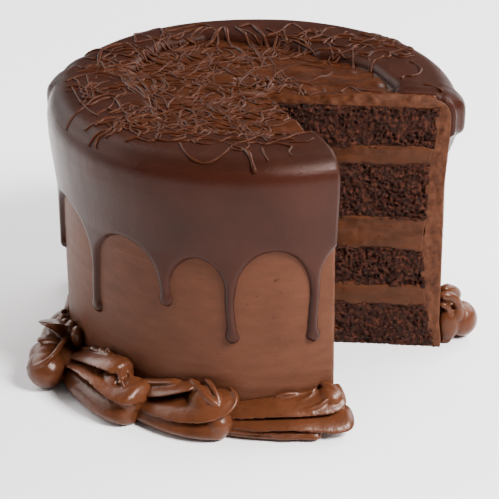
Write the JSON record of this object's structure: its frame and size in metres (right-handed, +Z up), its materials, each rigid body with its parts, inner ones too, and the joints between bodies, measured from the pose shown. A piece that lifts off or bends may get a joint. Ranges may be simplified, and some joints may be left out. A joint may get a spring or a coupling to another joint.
{
  "type": "layer cake",
  "caption": "Round layer cake with a slice cut out, iced walls, dripping dark glaze, crossing drizzle and a piped shell border.",
  "frame": {"origin": "on the cake's axis, on the plane it stands on, which is the flat underside of the lowest sponge", "axes": "+Z up along the cake's axis, -Y towards the front as pictured, +X to the right, with the missing slice opening between -Y and +X"},
  "size_m": [0.2626, 0.2555, 0.157],
  "materials": {
    "sponge": "open moist dark chocolate crumb, very rough",
    "filling": "smooth milk chocolate cream, satin",
    "buttercream": "scraped chocolate buttercream, satin to matte",
    "glaze": "set dark chocolate glaze, soft gloss",
    "border": "piped chocolate cream, moist gloss"
  },
  "bodies": {
    "root": {"sponge_1": "sponge", "sponge_2": "sponge", "sponge_3": "sponge", "sponge_4": "sponge", "filling_1": "filling", "filling_2": "filling", "filling_3": "filling", "buttercream_coat": "buttercream", "glaze": "glaze", "shell_01": "border", "shell_02": "border", "shell_03": "border", "shell_04": "border", "shell_05": "border", "shell_06": "border", "shell_07": "border", "shell_08": "border", "shell_09": "border", "shell_10": "border", "shell_11": "border", "shell_12": "border"}
  },
  "joints": []
}
